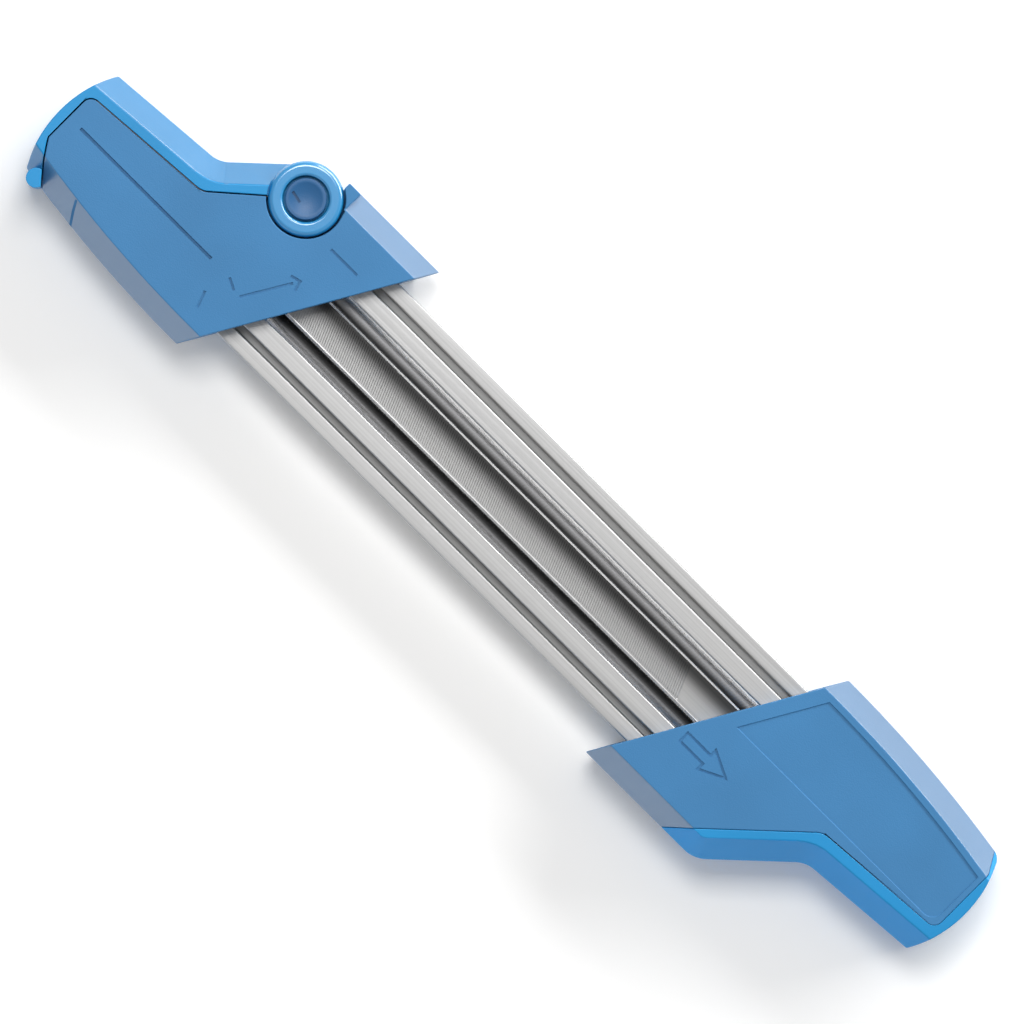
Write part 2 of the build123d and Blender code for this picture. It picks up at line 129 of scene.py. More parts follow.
def lamp(name, place, aim, size, watts, colour=(1, 1, 1)):
    """A rectangular soft lamp at a place, turned to face a point."""
    light = bpy.data.lights.new(name, "AREA")
    light.shape = "RECTANGLE"
    light.size, light.size_y = size
    light.energy = watts
    light.color = colour
    holder = bpy.data.objects.new(name, light)
    holder.location = place
    away = np.array(place, float) - np.array(aim, float)
    holder.rotation_euler = (
        math.atan2(math.hypot(away[0], away[1]), away[2]),
        0,
        math.atan2(away[1], away[0]) + math.pi / 2,
    )
    scene.collection.objects.link(holder)


lamp("key_lamp", (-0.58, 0.58, 2.04), (0, 0, 0.02), (0.9, 0.9), 20)
lamp("side_lamp", (0.1, 1.4, 0.62), (0, 0, 0.02), (1.8, 0.4), 28)
lamp("fill_lamp", (-0.1, -1.4, 0.4), (0, 0, 0.02), (1.6, 0.4), 2.0, (0.7, 0.95, 1.35))

# Moulded handles.
# Each handle is two mid blue nylon shells, moulded with a fine spark-eroded grain and met
# at mid height. Their edges are eased, as a mould leaves them.
MM = 0.001
MERGE = 0.001 * MM
SHORTEST = 0.04 * MM
SLIVER_WIDTH = 0.005 * MM
REGION_PASSES = 40
TOP = 26.0
BODY_EASE = 0.3 * MM
EASE_SHARE = 0.4
SLOPES = (0.25, 0.85)
BODY_BLUE = (0.045, 0.195, 0.410, 1)
# The sloped faces take a greyer copy of the blue under a clear coat; the greyer colour is painted
# sheen.
FACET_SHEEN_BLUE = (0.060, 0.170, 0.330, 1)
MARK_WIDTH, MARK_DEPTH, MARK_RISE = 0.8, 0.4, 1.0
LINE_WIDTH, LINE_DEPTH = 1.0, 0.9


def grain(tree, shader, scale, depth, spread):
    """Fine moulded grain: small noise bumps, and roughness that varies a little with it."""
    place = tree.nodes.new("ShaderNodeTexCoord")
    noise = tree.nodes.new("ShaderNodeTexNoise")
    noise.inputs["Scale"].default_value = scale
    noise.inputs["Detail"].default_value = 3.0
    tree.links.new(place.outputs["Object"], noise.inputs["Vector"])
    bump = tree.nodes.new("ShaderNodeBump")
    bump.inputs["Strength"].default_value = depth
    bump.inputs["Distance"].default_value = 0.0002
    tree.links.new(noise.outputs["Fac"], bump.inputs["Height"])
    tree.links.new(bump.outputs[0], shader.inputs["Normal"])
    rough = tree.nodes.new("ShaderNodeMapRange")
    rough.inputs["To Min"].default_value = spread[0]
    rough.inputs["To Max"].default_value = spread[1]
    tree.links.new(noise.outputs["Fac"], rough.inputs["Value"])
    tree.links.new(rough.outputs[0], shader.inputs["Roughness"])
    return place


def mottle(tree, shader, place, colour, scale, amount):
    """Slow unevenness of a moulded colour: a noise that darkens and lightens it a little."""
    noise = tree.nodes.new("ShaderNodeTexNoise")
    noise.inputs["Scale"].default_value = scale
    noise.inputs["Detail"].default_value = 2.0
    tree.links.new(place.outputs["Object"], noise.inputs["Vector"])
    ramp = tree.nodes.new("ShaderNodeValToRGB")
    base = np.array(colour[:3])
    ramp.color_ramp.elements[0].position = 0.3
    ramp.color_ramp.elements[1].position = 0.7
    ramp.color_ramp.elements[0].color = (*(base * (1 - amount)), 1)
    ramp.color_ramp.elements[1].color = (*np.minimum(base * (1 + amount), 1), 1)
    tree.links.new(noise.outputs["Fac"], ramp.inputs["Fac"])
    tree.links.new(ramp.outputs["Color"], shader.inputs["Base Color"])


def polished(material, colour, coat, rough=0.3):
    """A copy of a moulded material with a clear, bright top layer, as a polished mould leaves it,
    in a colour of its own. Where that colour differs from the moulding's, as on the sloped faces,
    it is painted light.
    """
    smooth = material.copy()
    smooth.name = f"{material.name}_polished_{rough}"
    shader = smooth.node_tree.nodes["Principled BSDF"]
    ramp = smooth.node_tree.nodes["Color Ramp"]
    for element, share in zip(ramp.color_ramp.elements, (0.96, 1.04)):
        element.color = (*(np.array(colour[:3]) * share), 1)
    shader.inputs["Coat Weight"].default_value = coat
    shader.inputs["Coat IOR"].default_value = 2.0
    shader.inputs["Coat Roughness"].default_value = rough
    return smooth


def plain_copy(node, material, corner=None):
    """A copy of a solid with its doubles merged and the triangles of its flat faces joined. A
    corner that stands out of a flat face is first pressed level with its neighbours."""
    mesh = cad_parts[node].data.copy()
    work = bmesh.new()
    work.from_mesh(mesh)
    bmesh.ops.remove_doubles(work, verts=work.verts, dist=MERGE)
    if corner:
        peak = min(work.verts, key=lambda v: math.dist(v.co, np.array(corner) * MM))
        peak.co = np.mean([np.array(e.other_vert(peak).co) for e in peak.link_edges], axis=0)
    bmesh.ops.dissolve_limit(
        work, angle_limit=math.radians(0.6), verts=work.verts, edges=work.edges, delimit=set()
    )
    bmesh.ops.dissolve_degenerate(work, dist=SHORTEST, edges=work.edges)
    bmesh.ops.recalc_face_normals(work, faces=work.faces)
    work.to_mesh(mesh)
    work.free()
    mesh.materials.clear()
    mesh.materials.append(material)
    piece = bpy.data.objects.new(node + "_finished", mesh)
    scene.collection.objects.link(piece)
    return piece


def levelled(mesh, sharp=40, level=0.5):
    """Sets the normals so that flat faces stay level. A face corner takes the mean normal of
    the faces round its vertex that lie within the sharp angle of its own, each weighted by the
    area of the whole flat region that it belongs to. Faces of hardly any width follow the
    others. Angles are in degrees."""
    count, corners = len(mesh.polygons), len(mesh.loops)
    normal, area = np.empty(count * 3), np.empty(count)
    sides, vertex, edge = (np.empty(n, int) for n in (count, corners, corners))
    mesh.polygons.foreach_get("normal", normal)
    mesh.polygons.foreach_get("area", area)
    mesh.polygons.foreach_get("loop_total", sides)
    mesh.loops.foreach_get("vertex_index", vertex)
    mesh.loops.foreach_get("edge_index", edge)
    normal = normal.reshape(-1, 3)
    face = np.repeat(np.arange(count), sides)
    points = np.empty(len(mesh.vertices) * 3)
    mesh.vertices.foreach_get("co", points)
    ends = np.empty(len(mesh.edges) * 2, int)
    mesh.edges.foreach_get("vertices", ends)
    ends = points.reshape(-1, 3)[ends.reshape(-1, 2)]
    length = np.linalg.norm(ends[:, 1] - ends[:, 0], axis=1)
    longest = np.maximum.reduceat(length[edge], np.cumsum(sides) - sides)
    solid = area > SLIVER_WIDTH * longest
    order = np.argsort(edge, kind="stable")
    shared = edge[order][1:] == edge[order][:-1]
    one, other = face[order][:-1][shared], face[order][1:][shared]
    flat = (normal[one] * normal[other]).sum(1) > math.cos(math.radians(level))
    one, other = one[flat], other[flat]
    region = np.arange(count)
    for _ in range(REGION_PASSES):
        lowest = np.minimum(region[one], region[other])
        np.minimum.at(region, one, lowest)
        np.minimum.at(region, other, lowest)
        region = region[region]
    weight = np.where(solid, np.bincount(region, area, count)[region], 0)
    order = np.argsort(vertex, kind="stable")
    group = np.bincount(vertex)
    first = np.cumsum(group) - group
    around = group[vertex]
    here = np.repeat(np.arange(corners), around)
    step = np.arange(len(here)) - np.repeat(np.cumsum(around) - around, around)
    there = face[order[first[vertex[here]] + step]]
    own = face[here]
    near = (normal[own] * normal[there]).sum(1) > math.cos(math.radians(sharp))
    near |= ~solid[own]
    total = np.zeros((corners, 3))
    np.add.at(total, here[near], weight[there[near], None] * normal[there[near]])
    reach = np.linalg.norm(total, axis=1, keepdims=True)
    total = np.where(reach > 0, total / np.maximum(reach, 1e-30), normal[face])
    mesh.polygons.foreach_set("use_smooth", np.full(count, True))
    mesh.normals_split_custom_set(total)


def carved(piece, cutters):
    """The piece with its own modifiers and every cutter applied, as one mesh with level faces.
    Faces of many sides are split before the cuts."""
    if cutters:
        split = piece.modifiers.new("split", "TRIANGULATE")
        split.min_vertices = 5
    for cutter in cutters:
        cut = piece.modifiers.new("cut", "BOOLEAN")
        cut.operation = "DIFFERENCE"
        cut.solver = "EXACT"
        cut.object = cutter
    bpy.context.view_layer.update()
    done = piece.evaluated_get(bpy.context.evaluated_depsgraph_get())
    mesh = bpy.data.meshes.new_from_object(done)
    piece.modifiers.clear()
    piece.data = mesh
    for cutter in cutters:
        bpy.data.objects.remove(cutter)
    levelled(mesh)
    return piece


def eased(piece, width, facets=None, cutters=(), angle=28):
    """Eases every edge sharper than an angle, paints the sloped faces with their own material
    where one is given, and then takes the cutters out."""
    mesh = piece.data
    if facets:
        mesh.materials.append(facets)
    work = bmesh.new()
    work.from_mesh(mesh)
    weight = work.edges.layers.float.new("bevel_weight_edge")
    for edge in work.edges:
        if len(edge.link_faces) == 2 and edge.calc_face_angle(0) > math.radians(angle):
            nearby = [e.calc_length() for v in edge.verts for e in v.link_edges]
            edge[weight] = min(1.0, min(nearby) * EASE_SHARE / width)
    for face in work.faces:
        sloped = SLOPES[0] < abs(face.normal.z) < SLOPES[1]
        face.material_index = 1 if facets and sloped else 0
    work.to_mesh(mesh)
    work.free()
    ease = piece.modifiers.new("eased_edges", "BEVEL")
    ease.width = width
    ease.segments = 3
    ease.limit_method = "WEIGHT"
    ease.use_clamp_overlap = False
    ease.loop_slide = False
    return carved(piece, cutters)


def groove(path, closed=False, width=MARK_WIDTH, depth=MARK_DEPTH, top=TOP):
    """A cutter along a path in plan. At each point its sides stand off by half the width over
    the cosine of half the turn, along the mean of the neighbouring normals. The top is one
    height, or one for each point."""
    points = np.array(path, float)
    top = np.tile(np.broadcast_to(top, len(points)), 2)
    ahead = np.roll(points, -1, axis=0) - points
    if not closed:
        ahead[-1] = ahead[-2]
    ahead /= np.linalg.norm(ahead, axis=1)[:, None]
    behind = np.roll(ahead, 1, axis=0)
    if not closed:
        behind[0] = ahead[0]
    normal = np.stack([-ahead[:, 1] - behind[:, 1], ahead[:, 0] + behind[:, 0]], axis=1)
    normal /= np.linalg.norm(normal, axis=1)[:, None]
    cosine = np.sum(normal * np.stack([-ahead[:, 1], ahead[:, 0]], axis=1), axis=1)
    stand = normal * (width / 2 / cosine)[:, None]
    count = len(points)
    plan = np.concatenate([points + stand, points - stand])
    low = np.column_stack([plan, top - depth])
    high = np.column_stack([plan, top + MARK_RISE])
    verts = np.concatenate([low, high]) * MM
    faces = []
    for k in range(count if closed else count - 1):
        m = (k + 1) % count
        left, right, up = k, k + count, 2 * count
        left_next, right_next = m, m + count
        faces.append((left, left_next, right_next, right))
        faces.append((left + up, right + up, right_next + up, left_next + up))
        faces.append((left, left + up, left_next + up, left_next))
        faces.append((right, right_next, right_next + up, right + up))
    if not closed:
        for k, flip in ((0, 1), (count - 1, -1)):
            ends = (k, k + count, k + 3 * count, k + 2 * count)
            faces.append(ends[::flip])
    return surface("groove", verts, faces, body_paint, smooth=False)


body_paint, tree, shader = paint("body_blue_nylon")
shader.inputs["Specular IOR Level"].default_value = 0.3
place = grain(tree, shader, 2600, 0.25, (0.42, 0.52))
mottle(tree, shader, place, BODY_BLUE, 35, 0.05)
body_facet_sheen = polished(body_paint, FACET_SHEEN_BLUE, 1.0)

# Sunk marks of the lever handle: a long line along the tail, an arrow beside the slanted
# front, three short strokes, and a line down the front facet.
FRONT_WAY = np.array([0.512, 0.859])
FRONT_SIDE = np.array([0.859, -0.512])
ARROW_FOOT, FRONT_TIP = np.array([-103.4, -12.0]), np.array([-93.8, 4.1])
BARB, BARB_GAP = 2.3, 2.2
TAIL_LINE = [(-172.7, -9.9), (-117.5, -9.9)]
LEFT_MARKS = (
    [(-94.0, 17.4), (-83.0, 17.4)],
    [ARROW_FOOT, FRONT_TIP - BARB_GAP * FRONT_WAY],
    [
        FRONT_TIP - BARB * FRONT_WAY - BARB * FRONT_SIDE,
        FRONT_TIP,
        FRONT_TIP - BARB * FRONT_WAY + BARB * FRONT_SIDE,
    ],
    [(-109.6, -10.0), (-106.0, -11.8)],
    [(-112.0, -18.0), (-110.2, -23.0)],
)
FACET_MARK = [(-158.6, -25.9), (-157.0, -28.9), (-154.3, -33.2)]
FACET_MARK_TOPS = (25.8, 22.25, 17.5)
# Sunk marks of the fixed handle: a hollow arrow that points along the stroke.
ARROW_TIP, ARROW_HEAD, ARROW_START, ARROW_Y = 101.5, 93.5, 83.9, -11.4
SHAFT_HALF, HEAD_HALF = 1.7, 3.9
ARROW = [
    (ARROW_START, ARROW_Y - SHAFT_HALF),
    (ARROW_HEAD, ARROW_Y - SHAFT_HALF),
    (ARROW_HEAD, ARROW_Y - HEAD_HALF),
    (ARROW_TIP, ARROW_Y),
    (ARROW_HEAD, ARROW_Y + HEAD_HALF),
    (ARROW_HEAD, ARROW_Y + SHAFT_HALF),
    (ARROW_START, ARROW_Y + SHAFT_HALF),
]
for node in ("left_upper_shell", "left_lower_shell", "right_upper_shell", "right_lower_shell"):
    cutters = []
    if node == "left_upper_shell":
        cutters = [groove(path) for path in LEFT_MARKS]
        cutters.append(groove(TAIL_LINE, width=LINE_WIDTH, depth=LINE_DEPTH))
        cutters.append(groove(FACET_MARK, top=np.array(FACET_MARK_TOPS)))
    if node == "right_upper_shell":
        cutters = [groove(ARROW, closed=True)]
    piece = eased(plain_copy(node, body_paint), BODY_EASE, body_facet_sheen, cutters)
    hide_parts(node)
    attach(piece, "frame")

# End grip and locking lever.
# Both are moulded in a brighter, smoother blue, the grip bonded round the end of the fixed
# handle and the lever hinged on the other. The hinge ring has a wide rounded rim.
BRIGHT_BLUE = (0.012, 0.255, 0.560, 1)
# The lever's sloped faces take a greyer, darker copy of its blue, painted sheen, and the grip's
# sloped faces a brighter blue, painted light.
BRIGHT_FACET_SHEEN_BLUE = (0.025, 0.205, 0.440, 1)
GRIP_FACET_LIT_BLUE = (0.010, 0.285, 0.700, 1)
BRIGHT_EASE = 0.4 * MM
HINGE = np.array([-110.03, 22.8])
RING_RADIUS, RING_RIM, RING_GROOVE = 11.4, 1.7, 0.4
RING_BORE, BORE_RIM = 7.0, 0.9
PADDLE_CORNER = (-128.8, 17.407, 4.96)
TURNS = 64

bright_paint, tree, shader = paint("bright_blue_grip")
shader.inputs["Specular IOR Level"].default_value = 0.35
place = grain(tree, shader, 1800, 0.12, (0.30, 0.38))
mottle(tree, shader, place, BRIGHT_BLUE, 30, 0.05)
bright_facet_sheen = polished(bright_paint, BRIGHT_FACET_SHEEN_BLUE, 0.6)
ring_paint = polished(bright_paint, BRIGHT_BLUE, 1.0, 0.16)


def arc(centre, radius, start, stop, steps):
    """Points on a circle in a profile's plane from one angle to another, in degrees."""
    angle = np.radians(np.linspace(start, stop, steps))
    return np.column_stack([centre[0] + radius * np.cos(angle), centre[1] + radius * np.sin(angle)])


def hoop(name, profile, centre, material, steps=TURNS):
    """A closed profile of (radius, height) turned once round an upright axis."""
    profile = np.array(profile, float)
    angle = np.arange(steps)[:, None] * 2 * math.pi / steps
    x = centre[0] + np.cos(angle) * profile[:, 0]
    y = centre[1] + np.sin(angle) * profile[:, 0]
    z = np.broadcast_to(profile[:, 1], x.shape)
    index = np.arange(x.size).reshape(x.shape)
    after, beyond = np.roll(index, -1, axis=0), np.roll(index, -1, axis=1)
    faces = np.stack([index, after, np.roll(after, -1, axis=1), beyond], 2).reshape(-1, 4)
    return surface(name, np.stack([x, y, z], 2).reshape(-1, 3) * MM, faces, material, smooth=False)


def facing_out(piece):
    """Turns every face of a closed shape outwards."""
    work = bmesh.new()
    work.from_mesh(piece.data)
    bmesh.ops.recalc_face_normals(work, faces=work.faces)
    work.to_mesh(piece.data)
    work.free()
    return piece


grip_facet_lit = polished(bright_paint, GRIP_FACET_LIT_BLUE, 0.1, 0.4)
piece = eased(plain_copy("right_end_grip", bright_paint), BRIGHT_EASE, grip_facet_lit)
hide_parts("right_end_grip")
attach(piece, "frame")

# One cutter takes a quarter round off the ring's outer edge, and another takes a smaller one
# off its bore. The corner of the paddle that stands out of the arm's facet is pressed level.
outer_profile = [
    *arc((RING_RADIUS - RING_RIM, TOP - RING_RIM), RING_RIM, 90, 0, 9),
    (RING_RADIUS + RING_GROOVE, TOP - RING_RIM),
    (RING_RADIUS + RING_GROOVE, TOP + MARK_RISE),
    (RING_RADIUS - RING_RIM, TOP + MARK_RISE),
]
inner_profile = [
    *arc((RING_BORE + BORE_RIM, TOP - BORE_RIM), BORE_RIM, 90, 180, 6),
    (RING_BORE - RING_GROOVE, TOP - BORE_RIM),
    (RING_BORE - RING_GROOVE, TOP + MARK_RISE),
    (RING_BORE + BORE_RIM, TOP + MARK_RISE),
]
rims = [
    facing_out(hoop("rim", profile, HINGE, bright_paint))
    for profile in (outer_profile, inner_profile)
]
piece = plain_copy("locking_lever", bright_paint, PADDLE_CORNER)
piece = eased(piece, BRIGHT_EASE, bright_facet_sheen, rims)
piece.data.materials.append(ring_paint)
ring_index = len(piece.data.materials) - 1
for face in piece.data.polygons:
    x, y, z = np.array(face.center) / MM
    if math.hypot(x - HINGE[0], y - HINGE[1]) < RING_RADIUS and z > TOP - RING_RIM:
        face.material_index = ring_index
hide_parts("locking_lever")
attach(piece, "lever")

# Hinge pin and its screw.
# A moulded pin with a wide dished head fills the ring from above, and a screw with a cross
# recess holds it from below.
HUB_BLUE = (0.015, 0.105, 0.265, 1)
HEAD_RADIUS, HEAD_ROUND = 6.3, 0.35
HEAD_LOW, HEAD_TOP = 23.0, 25.4
PIN_RADIUS, PIN_FOOT = 3.0, 3.0
BORE_RADIUS, CREASE = 1.6, 0.01
DISH_RADIUS, DISH_DEPTH = 5.5, 0.85
HUB_MARK = [(-114.4, 21.6), (-110.6, 20.8)]

hub_paint, tree, shader = paint("hinge_blue_nylon")
place = grain(tree, shader, 2600, 0.2, (0.34, 0.42))
mottle(tree, shader, place, HUB_BLUE, 60, 0.06)


def capped(name, x, y, z, poles, material):
    """A closed surface from arrays of rows by columns. The columns wrap round, each row joins
    the next in quads, and the first and last rows close on a pole each."""
    rows, columns = x.shape
    grid = np.stack([x, y, z], 2).reshape(-1, 3)
    index = np.arange(rows * columns).reshape(rows, columns)
    after = np.roll(index, -1, axis=1)
    quads = np.stack([index[:-1], after[:-1], after[1:], index[1:]], 2).reshape(-1, 4)
    start = np.stack([np.full(columns, rows * columns), after[0], index[0]], 1)
    end = np.stack([np.full(columns, rows * columns + 1), index[-1], after[-1]], 1)
    faces = quads.tolist() + start.tolist() + end.tolist()
    return facing_out(surface(name, np.concatenate([grid, poles]) * MM, faces, material))


def turned(name, profile, centre, material, steps=TURNS):
    """A profile of (radius, height) turned once round an upright axis: x and y are the centre
    plus radius times the cosine and sine of the turn. It starts and ends on the axis."""
    profile = np.array(profile, float)
    angle = np.arange(steps) * 2 * math.pi / steps
    radius, height = profile[1:-1, :1], profile[1:-1, 1:]
    x = centre[0] + radius * np.cos(angle)
    y = centre[1] + radius * np.sin(angle)
    poles = np.array([(*centre, profile[0, 1]), (*centre, profile[-1, 1])])
    return capped(name, x, y, np.broadcast_to(height, x.shape), poles, material)


dish = np.linspace(0, 1, 9)
pin_profile = np.concatenate(
    [
        np.column_stack([dish * DISH_RADIUS, HEAD_TOP - DISH_DEPTH * (1 - dish**2)]),
        arc((HEAD_RADIUS - HEAD_ROUND, HEAD_TOP - HEAD_ROUND), HEAD_ROUND, 90, 0, 5),
        [(HEAD_RADIUS, HEAD_LOW), (HEAD_RADIUS - CREASE, HEAD_LOW), (PIN_RADIUS, HEAD_LOW)],
        [(PIN_RADIUS, PIN_FOOT), (PIN_RADIUS - CREASE, PIN_FOOT), (BORE_RADIUS, PIN_FOOT)],
        [(BORE_RADIUS, TOP / 2 - CREASE), (BORE_RADIUS - CREASE, TOP / 2), (0, TOP / 2)],
    ]
)
pin = turned("hinge_pin_finished", pin_profile, HINGE, hub_paint)
pin = carved(pin, [groove(HUB_MARK, top=HEAD_TOP - DISH_DEPTH)])
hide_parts("lever_hinge_pin")
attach(pin, "frame")

SCREW_RADIUS = 1.5
CROSS_WIDTH = 0.9


def cross(centre, reach, low, depth):
    """A cutter of two crossed bars for the drive of a screw whose head faces down."""
    bars = []
    for half in ((reach, CROSS_WIDTH / 2), (CROSS_WIDTH / 2, reach)):
        half = np.array(half)
        lowest = np.array([*(centre - half), low - MARK_RISE])
        highest = np.array([*(centre + half), low + depth])
        pick = np.array([(i, j, k) for k in (0, 1) for j in (0, 1) for i in (0, 1)])
        verts = np.where(pick == 1, highest, lowest) * MM
        faces = [(0, 2, 3, 1), (4, 5, 7, 6), (0, 1, 5, 4), (2, 6, 7, 3), (0, 4, 6, 2), (1, 3, 7, 5)]
        bars.append(surface("bar", verts, faces, hub_paint, smooth=False))
    return bars


HINGE_SCREW_LOW, HINGE_SCREW_TOP, HINGE_SCREW_TURNS = 0.6, 12.5, 48
HINGE_SCREW_ROUND, TIP_CHAMFER = 0.8, 0.3
HINGE_CROSS_REACH, HINGE_CROSS_DEPTH = 2.4, 1.1
round_centre = (HEAD_RADIUS - HINGE_SCREW_ROUND, HINGE_SCREW_LOW + HINGE_SCREW_ROUND)
hinge_screw_profile = [
    (0, HINGE_SCREW_LOW),
    (HEAD_RADIUS - 2 * HINGE_SCREW_ROUND, HINGE_SCREW_LOW),
    *arc(round_centre, HINGE_SCREW_ROUND, -90, 0, 5),
    (HEAD_RADIUS, PIN_FOOT),
    (HEAD_RADIUS - CREASE, PIN_FOOT),
    (SCREW_RADIUS, PIN_FOOT),
    (SCREW_RADIUS, HINGE_SCREW_TOP - TIP_CHAMFER),
    (SCREW_RADIUS - TIP_CHAMFER, HINGE_SCREW_TOP),
    (0, HINGE_SCREW_TOP),
]
screw = turned(
    "hinge_screw_finished", hinge_screw_profile, HINGE, hub_paint, HINGE_SCREW_TURNS
)
screw = carved(screw, cross(HINGE, HINGE_CROSS_REACH, HINGE_SCREW_LOW, HINGE_CROSS_DEPTH))
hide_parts("lever_hinge_screw")
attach(screw, "frame")

# Guide rails.
# Two strips of bright rolled steel, each bent to a ridge, a groove, a flange and a foot.
# The sheet was drawn through rollers, so fine lines run along it.
RAIL_STEEL = (0.46, 0.46, 0.46, 1)
GROOVE_SHADE_STEEL = (0.42, 0.42, 0.42, 1)
RAIL_ROUGH, GROOVE_ROUGH, RAIL_SPREAD = 0.42, 0.7, 0.1
RAIL_EASE = 0.5 * MM
GROOVE, GROOVE_FLOOR = (17.2, 19.8), 14.8
LINES_ALONG = 4


def drawn_steel(name, colour, rough, across, depth=0.1, spread=0.05):
    """Steel with fine lines along X: noise that is stretched along X and tight across it, and
    that changes the colour by its spread, the roughness, and the height by its depth."""
    material, tree, shader = paint(name)
    shader.inputs["Metallic"].default_value = 1.0
    place = tree.nodes.new("ShaderNodeTexCoord")
    stretch = tree.nodes.new("ShaderNodeMapping")
    stretch.inputs["Scale"].default_value = (LINES_ALONG, across, across)
    tree.links.new(place.outputs["Object"], stretch.inputs["Vector"])
    lines = tree.nodes.new("ShaderNodeTexNoise")
    lines.inputs["Scale"].default_value = 1.0
    lines.inputs["Detail"].default_value = 4.0
    tree.links.new(stretch.outputs[0], lines.inputs["Vector"])
    ramp = tree.nodes.new("ShaderNodeValToRGB")
    base = np.array(colour[:3])
    ramp.color_ramp.elements[0].position = 0.35
    ramp.color_ramp.elements[1].position = 0.65
    ramp.color_ramp.elements[0].color = (*(base * (1 - spread)), 1)
    ramp.color_ramp.elements[1].color = (*np.minimum(base * (1 + spread), 1), 1)
    tree.links.new(lines.outputs["Fac"], ramp.inputs["Fac"])
    tree.links.new(ramp.outputs["Color"], shader.inputs["Base Color"])
    span = tree.nodes.new("ShaderNodeMapRange")
    span.inputs["To Min"].default_value = rough - 0.03
    span.inputs["To Max"].default_value = rough + 0.04
    tree.links.new(lines.outputs["Fac"], span.inputs["Value"])
    tree.links.new(span.outputs[0], shader.inputs["Roughness"])
    bump = tree.nodes.new("ShaderNodeBump")
    bump.inputs["Strength"].default_value = depth
    bump.inputs["Distance"].default_value = 0.0001
    tree.links.new(lines.outputs["Fac"], bump.inputs["Height"])
    tree.links.new(bump.outputs[0], shader.inputs["Normal"])
    return material


rail_paint = drawn_steel("rolled_steel", RAIL_STEEL, RAIL_ROUGH, 2000, spread=RAIL_SPREAD)
# Faces in the grooves take a rougher steel painted a little darker, painted shade in the hollow.
groove_shade_paint = drawn_steel(
    "rolled_steel_in_groove", GROOVE_SHADE_STEEL, GROOVE_ROUGH, 2000, spread=RAIL_SPREAD
)
for node in ("rear_guide_rail", "front_guide_rail"):
    piece = eased(plain_copy(node, rail_paint), RAIL_EASE)
    piece.data.materials.append(groove_shade_paint)
    for face in piece.data.polygons:
        x, y, z = np.abs(np.array(face.center)) / MM
        if GROOVE[0] < y < GROOVE[1] and z > GROOVE_FLOOR:
            face.material_index = 1
    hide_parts(node)
    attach(piece, "frame")

# Flat depth gauge file.
# A hardened file with single cut teeth across both faces, slanted 23 degrees, and plain
# edges. The cut ends just before the fixed handle, and plain steel follows.
FLAT_STEEL = (0.405, 0.405, 0.405, 1)
EDGE_HIGHLIGHT_STEEL = (0.97, 0.97, 0.97, 1)
FLAT_START, FLAT_END = -122.3, 119.3
FLAT_HALF, FLAT_LOW, FLAT_TOP = 5.6, 10.35, 13.35
CUT_START, CUT_END, CUT_SLANT = -118.0, 72.7, math.tan(math.radians(23))
TOOTH, TOOTH_DEPTH, TOOTH_STEPS = 0.8, 0.09, (0.0, 0.72, 0.88)
EDGE_ROUND, FLAT_EDGE, CUT_FADE = 0.12, 0.45, 0.9
# The file's steel is painted darker towards its rear (+Y) edge, painted shade.
FLAT_PAINTED_SHADE = [
    (-5.6, 1.0), (-4.0, 1.0), (-2.0, 1.0), (0.0, 0.81),
    (2.0, 0.43), (3.0, 0.22), (4.3, 0.13), (5.6, 0.13),
]

# The front plain edge is painted near-white, a painted highlight; the rear edge keeps the file's
# painted shade.
edge_highlight_paint = drawn_steel("ground_steel_painted_highlight", EDGE_HIGHLIGHT_STEEL, 0.28, 900, 0.05)


def painted_shade_across(material, stops):
    """Multiplies a steel's colour by a grey that changes across the tool, along Y: painted shade.
    """
    tree = material.node_tree
    shader = tree.nodes["Principled BSDF"]
    lines = shader.inputs["Base Color"].links[0].from_socket
    place = tree.nodes.new("ShaderNodeTexCoord")
    parts = tree.nodes.new("ShaderNodeSeparateXYZ")
    tree.links.new(place.outputs["Object"], parts.inputs[0])
    span = tree.nodes.new("ShaderNodeMapRange")
    span.inputs["From Min"].default_value = stops[0][0] * MM
    span.inputs["From Max"].default_value = stops[-1][0] * MM
    tree.links.new(parts.outputs["Y"], span.inputs["Value"])
    ramp = tree.nodes.new("ShaderNodeValToRGB")
    greys = ramp.color_ramp.elements
    for y, _ in stops[1:-1]:
        greys.new((y - stops[0][0]) / (stops[-1][0] - stops[0][0]))
    for element, (_, grey) in zip(greys, stops):
        element.color = (grey, grey, grey, 1)
    tree.links.new(span.outputs[0], ramp.inputs["Fac"])
    both = tree.nodes.new("ShaderNodeMix")
    both.data_type = "RGBA"
    both.blend_type = "MULTIPLY"
    both.inputs["Factor"].default_value = 1.0
    tree.links.new(lines, both.inputs["A"])
    tree.links.new(ramp.outputs["Color"], both.inputs["B"])
    tree.links.new(both.outputs["Result"], shader.inputs["Base Color"])
    return material


flat_shaded_paint = painted_shade_across(drawn_steel("flat_file_steel_painted_shade", FLAT_STEEL, 0.40, 900), FLAT_PAINTED_SHADE)


